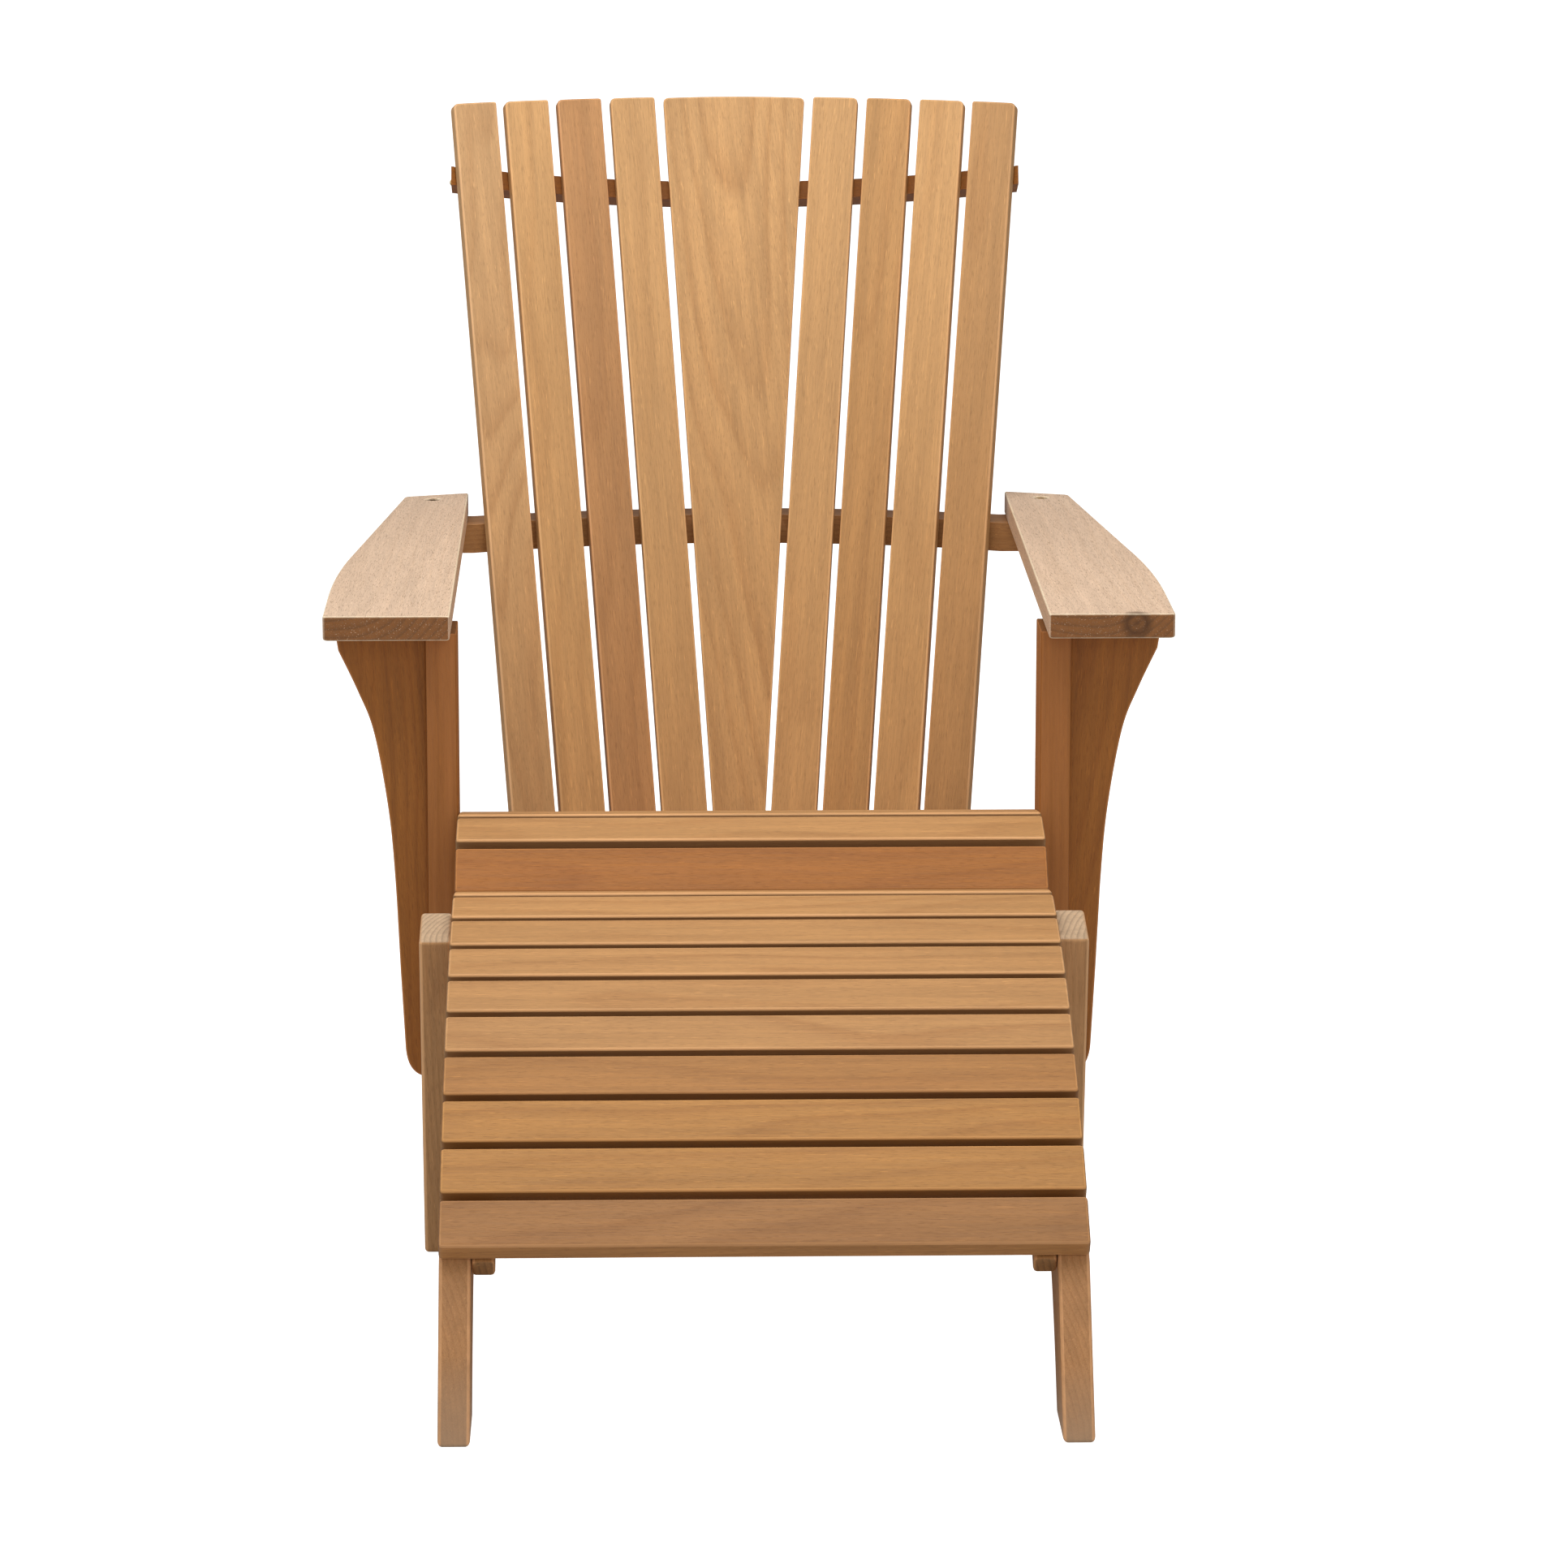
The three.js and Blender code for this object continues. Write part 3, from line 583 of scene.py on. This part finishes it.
def ease_edges(node, smoothing):
    """Rounds every arris of a board, as sandpaper leaves it."""
    thing = NODES[node]
    weld = thing.modifiers.new("weld", "WELD")
    weld.merge_threshold = WELD
    flats = thing.modifiers.new("flats", "DECIMATE")
    flats.decimate_type = "DISSOLVE"
    flats.angle_limit = FLAT
    thing.modifiers.new("shade", "NODES").node_group = smoothing
    bevel = thing.modifiers.new("ease", "BEVEL")
    bevel.width = next(width for word, width in EASING if word in node)
    bevel.segments = EASE_STEPS
    bevel.limit_method = "ANGLE"
    bevel.angle_limit = ARRIS
    bevel.loop_slide = False
    bevel.harden_normals = True
    bevel.use_clamp_overlap = "rail" in node        # the rails' seatings are finer than the rounding


def finish_boards(smoothing):
    for seed, node in enumerate(sorted(NODES)):
        if "bolt" in node:
            continue
        slot = NODES[node].material_slots[0]
        slot.link = "OBJECT"
        slot.material = teak(node, seed)
        ease_edges(node, smoothing)


# ---------------------------------------------------------------- fastenings

STEPS = 48                              # points in a ring
CROSS_ARM = 0.26                        # half the width of a cross slot's arm, as a share of its radius
SHANK = 0.0031                          # radius of a bolt
HEAD_HEIGHT = 0.0024                    # of a bolt, from the wood to its highest ring
PROBE_BEHIND = 0.2                      # how far off a screw's place on a rail is looked for
PROBE_BELOW = 0.12                      # and on a cleat

# Turned forms. Each ring has its radius, its height and its shape. Heights are from the bolt's tip, from
# the wood under the bolt's head, and from the wood that a screw is sunk in.
NUT_END = [(SHANK - 0.0005, 0.0, "round"), (SHANK, 0.0005, "round"), (SHANK, 0.0008, "round"),
           (0.0058, 0.0008, "round"), (0.0064, 0.0014, "hex"), (0.0064, 0.0042, "hex"),
           (0.0060, 0.0046, "round"), (0.0064, 0.0046, "round"), (0.0064, 0.0052, "round"),
           (SHANK, 0.0052, "round")]
SOCKET_HEAD = [(SHANK, 0.0, "round"), (0.0066, 0.0, "round"), (0.0066, 0.0012, "round"),
               (0.0063, 0.0019, "round"), (0.0056, 0.0023, "round"), (0.0046, HEAD_HEIGHT, "round"),
               (0.0036, 0.0021, "hex"), (0.0035, 0.0004, "hex"), (0.0020, 0.0, "round")]
SCREW_HEAD = [(0.0022, -0.0022, "round"), (0.0040, -0.0004, "round"), (0.0039, 0.0001, "round"),
              (0.0034, 0.0004, "round"), (0.0023, 0.0005, "cross"), (0.0021, -0.0006, "cross"),
              (0.0010, -0.0014, "cross")]

# Waves in a metre of a fastening's tarnish, its dirt and its tool marks.
TARNISH_WAVES = (260.0, 260.0, 260.0)
DIRT_WAVES = (1900.0, 1900.0, 1900.0)
TOOL_WAVES = (900.0, 5200.0, 5200.0)

TARNISH_IN_NOISE = [(0.42, 0.0), (0.62, 1.0)]
METAL_ROUGH = 0.24
ROUGH_DIRT = 0.18
ROUGH_TARNISH = 0.30
RELIEF_OF_DIRT = 0.6
METAL_RELIEF = 0.30
METAL_RELIEF_DEPTH = 0.00006


def raised(rings, rise):
    return [(radius, height + rise, shape) for radius, height, shape in rings]


def ring_reach(shape, angle):
    """Distance from the axis to a ring of that shape, as a share of its radius."""
    if shape == "hex":
        return math.cos(math.pi / 6) / math.cos((angle + math.pi / 6) % (math.pi / 3) - math.pi / 6)
    if shape == "cross":
        off_arm = (angle + math.pi / 4) % (math.pi / 2) - math.pi / 4
        return min(1.0 / math.cos(off_arm), CROSS_ARM / max(abs(math.sin(off_arm)), 0.01))
    return 1.0


def turned(name, rings, places):
    """One mesh of the same turned form, closed at both ends, at each of the places."""
    points = []
    faces = []
    for place in places:
        first = len(points)
        for radius, height, shape in rings:
            for i in range(STEPS):
                angle = 2 * math.pi * i / STEPS
                reach = radius * ring_reach(shape, angle)
                points.append(place @ Vector((reach * math.cos(angle), reach * math.sin(angle), height)))
        points.append(place @ Vector((0, 0, rings[0][1])))
        points.append(place @ Vector((0, 0, rings[-1][1])))
        tip = len(points) - 2
        top = first + (len(rings) - 1) * STEPS
        for i in range(STEPS):
            after = (i + 1) % STEPS
            faces.append((tip, first + after, first + i))
            faces.append((tip + 1, top + i, top + after))
            for row in range(first, top, STEPS):
                faces.append((row + i, row + after, row + STEPS + after, row + STEPS + i))
    mesh = bpy.data.meshes.new(name)
    mesh.from_pydata(points, [], faces)
    return place_object(name, mesh)


def metal(name, colour, tarnish, tarnished):
    """Turned metal with fine tool marks, duller and darker where the weather has tarnished it."""
    s = Shader(name)
    place = s.node("TexCoord").outputs["Object"]
    patches = s.ramp(s.noise(place, TARNISH_WAVES, 4.0, 0.6), TARNISH_IN_NOISE)
    dirt = s.noise(place, DIRT_WAVES, 2.0, 0.6)
    dull = s.calc("MULTIPLY", patches, tarnished)
    rough = s.calc("ADD", METAL_ROUGH, s.calc("MULTIPLY", dirt, ROUGH_DIRT))
    relief = s.calc("ADD", s.noise(place, TOOL_WAVES), s.calc("MULTIPLY", dirt, RELIEF_OF_DIRT))
    s.set_surface({"Base Color": s.mix(dull, shade(colour), shade(tarnish)), "Metallic": 1.0,
                   "Roughness": s.calc("ADD", rough, s.calc("MULTIPLY", dull, ROUGH_TARNISH)),
                   "Normal": s.bump(relief, METAL_RELIEF, METAL_RELIEF_DEPTH)})
    return s.material


def upright(place, axis):
    """Placement with z along the axis."""
    return Matrix.Translation(place) @ axis.to_track_quat("Z", "Y").to_matrix().to_4x4()


def finish_piece(piece, material, body, smoothing):
    piece.data.materials.append(material)
    piece.modifiers.new("shade", "NODES").node_group = smoothing
    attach(piece, body)


def build_bolt(node, material, smoothing):
    """A bolt with a socket head, its shank and its nut, where the plain one of the model is."""
    low, high = [Vector(corner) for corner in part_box(node)]
    middle = (low + high) / 2
    axis = Vector((0, 0, 1)) if node.startswith("arm") else Vector((math.copysign(1, middle.x), 0, 0))
    reach = abs((high - low).dot(axis)) / 2
    rings = raised(NUT_END, -reach) + raised(SOCKET_HEAD, reach - HEAD_HEIGHT)
    bolt = turned(node.replace("bolt", "socket_bolt"), rings, [upright(middle, axis)])
    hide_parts(node)
    finish_piece(bolt, material, BODY_OF[node], smoothing)


def boards_named(start):
    return [Board(node) for node in sorted(NODES) if node.startswith(start)]


def add_screw(places, node, start, direction):
    """Adds the place where a line from the start meets the node, if it does."""
    found, place, normal, _ = NODES[node].ray_cast(start, direction)
    if found:
        places.append(upright(place, normal))


def screws_behind(rail):
    """Where the back's boards are screwed to a rail, from its rear."""
    behind = Board(rail)
    places = []
    for board in boards_named("back_slat"):
        rise = (behind.middle - board.middle).dot(behind.face) / board.along.dot(behind.face)
        rearward = board.face if board.face.y > 0 else -board.face
        rearward = (rearward - rearward.dot(behind.face) * behind.face).normalized()
        start = board.middle + rise * board.along + PROBE_BEHIND * rearward
        add_screw(places, rail, start, -rearward)
    return places


def screws_under(cleat, slats):
    """Where the slats are screwed to a cleat, from below."""
    low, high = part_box(cleat)
    places = []
    for board in boards_named(slats):
        upward = board.face if board.face.z > 0 else -board.face
        start = Vector(((low[0] + high[0]) / 2, board.middle.y, board.middle.z)) - PROBE_BELOW * upward
        add_screw(places, cleat, start, upward)
    return places


def build_fastenings(smoothing):
    brass = metal("brass", (0.80, 0.58, 0.27), (0.34, 0.22, 0.10), 0.7)
    # The left arm's bolt gets darker brass, painted shade of its recess, with tarnish patches as on the
    # others.
    shaded_brass = metal("brass_with_painted_shade", (0.42, 0.28, 0.14), (0.10, 0.06, 0.03), 0.9)
    steel = metal("steel", (0.56, 0.55, 0.53), (0.30, 0.26, 0.22), 0.6)
    for node in sorted(NODES):
        if node.startswith("arm_bolt"):
            build_bolt(node, brass if node.endswith("right") else shaded_brass, smoothing)
        elif "bolt" in node:
            build_bolt(node, steel, smoothing)
    rows = {rail: screws_behind(rail) for rail in ("upper_back_rail", "arm_rail", "lower_back_rail")}
    for side in SIDES:
        rows[f"seat_cleat_{side}"] = screws_under(f"seat_cleat_{side}", "seat_slat")
        rows[f"rest_cleat_{side}"] = screws_under(f"rest_cleat_{side}", "rest_slat")
    for node, places in rows.items():
        screws = turned(f"screws_{node}", SCREW_HEAD, places)
        finish_piece(screws, brass, BODY_OF[node], smoothing)


# ---------------------------------------------------------------- whole

bpy.context.scene.view_settings.view_transform = "Standard"
build_camera()
build_studio()
build_floor()
smoothing = smoothing_tree()
finish_boards(smoothing)
build_fastenings(smoothing)
